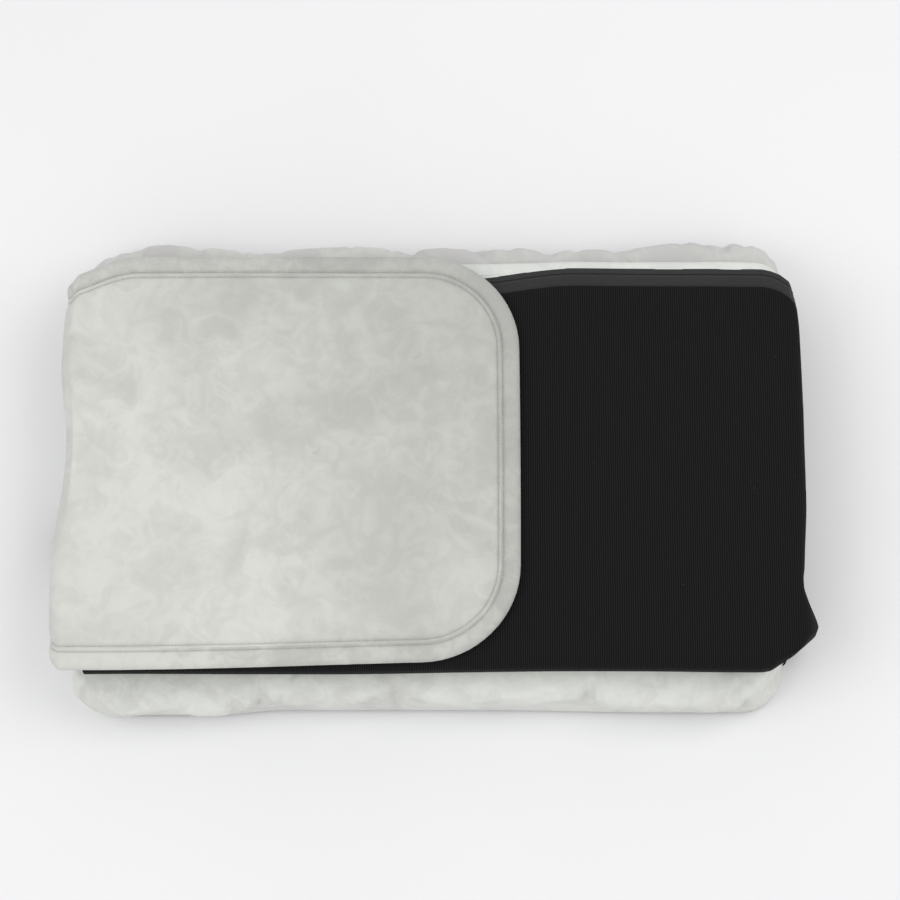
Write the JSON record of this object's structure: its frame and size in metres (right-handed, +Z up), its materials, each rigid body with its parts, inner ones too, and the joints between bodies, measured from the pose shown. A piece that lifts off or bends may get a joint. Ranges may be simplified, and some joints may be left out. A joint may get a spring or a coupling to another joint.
{
  "type": "infrared sauna blanket",
  "caption": "Infrared sauna blanket folded in three: velour and rib-knit padded mat with heating layers, edge zip, head flap and controller inlet.",
  "frame": {"origin": "centre of the underside of the folded blanket, on the surface that it lies on", "axes": "+X along the bundle towards the knit fold, +Y to the back edge with the zip, +Z up"},
  "size_m": [0.76, 0.486, 0.112],
  "materials": {
    "velour": "short-pile pale grey velour",
    "binding": "folded velour binding, topstitched",
    "black_knit": "fine black rib knit",
    "wadding": "needled white felt",
    "foil": "crinkled reflective foil",
    "carbon_film": "carbon heating film",
    "copper": "bare copper",
    "black_plastic": "fine satin moulded",
    "zip_tape": "ribbed woven tape",
    "zip_coil": "nylon coil",
    "black_nickel": "black nickel plate",
    "lead_cover": "silicone sleeve"
  },
  "bodies": {
    "lower_panel": {"inlet_bezel": "black_plastic", "inlet_housing": "black_plastic", "inlet_lead_back": "lead_cover", "inlet_lead_front": "lead_cover", "inlet_pin_live": "copper", "inlet_pin_neutral": "copper", "inlet_pin_sensor": "copper", "lower_bus_bar_back": "copper", "lower_bus_bar_front": "copper", "lower_foil_reflector": "foil", "lower_fold_edge": "black_knit", "lower_heating_film": "carbon_film", "lower_insulation_felt": "wadding", "lower_knit_sheet": "black_knit", "lower_temperature_sensor": "copper", "lower_thermostat": "black_plastic", "lower_velour_cover": "velour", "lower_wadding": "wadding", "lower_zip_coil": "zip_coil", "lower_zip_stop": "black_nickel", "lower_zip_tape_knit_side": "zip_tape", "lower_zip_tape_velour_side": "zip_tape"},
    "right_fold": {"right_fold_knit": "black_knit", "right_fold_wadding": "wadding", "right_fold_zip_coil": "zip_coil", "right_fold_zip_tape_knit_side": "zip_tape", "right_fold_zip_tape_velour_side": "zip_tape"},
    "upper_panel": {"upper_bus_bar_back": "copper", "upper_bus_bar_front": "copper", "upper_foil_reflector": "foil", "upper_fold_edge": "black_knit", "upper_heating_film": "carbon_film", "upper_insulation_felt": "wadding", "upper_knit_cover": "black_knit", "upper_temperature_sensor": "copper", "upper_thermal_fuse": "black_plastic", "upper_velour_cover": "velour", "upper_wadding": "wadding", "upper_zip_coil": "zip_coil", "upper_zip_stop": "black_nickel", "upper_zip_tape_knit_side": "zip_tape", "upper_zip_tape_velour_side": "zip_tape"},
    "left_fold": {"left_fold_velour": "velour", "left_fold_wadding": "wadding"},
    "head_flap": {"flap_binding": "binding", "flap_fold_edge": "velour", "flap_knit_lining": "black_knit", "flap_velour_cover": "velour", "flap_wadding": "wadding"},
    "zip_slider": {"zip_slider_body": "black_nickel"},
    "zip_pull": {"zip_pull_tab": "black_nickel"}
  },
  "joints": [
    {"name": "right_fold_lower", "type": "hinge", "parent": "lower_panel", "child": "right_fold", "pos_m": [0.38, 0, 0.024], "axis": [0, 1, 0], "range_deg": [0, 90]},
    {"name": "right_fold_upper", "type": "hinge", "parent": "right_fold", "child": "upper_panel", "pos_m": [0.38, 0, 0.088], "axis": [0, 1, 0], "range_deg": [0, 90]},
    {"name": "left_fold_lower", "type": "hinge", "parent": "upper_panel", "child": "left_fold", "pos_m": [-0.38, 0, 0.059], "axis": [0, -1, 0], "range_deg": [0, 90]},
    {"name": "left_fold_upper", "type": "hinge", "parent": "left_fold", "child": "head_flap", "pos_m": [-0.38, 0, 0.104], "axis": [0, -1, 0], "range_deg": [0, 90]},
    {"name": "zip_travel", "type": "slide", "parent": "lower_panel", "child": "zip_slider", "axis": [1, 0, 0], "range_m": [0, 0.585]},
    {"name": "pull_swing", "type": "hinge", "parent": "zip_slider", "child": "zip_pull", "pos_m": [-0.3, 0.23965, 0.0165], "axis": [0, 0, -1], "range_deg": [0, 170]}
  ],
  "couplings": [
    {"joint": "right_fold_upper", "follows": "right_fold_lower", "ratio": 1},
    {"joint": "left_fold_upper", "follows": "left_fold_lower", "ratio": 1}
  ]
}
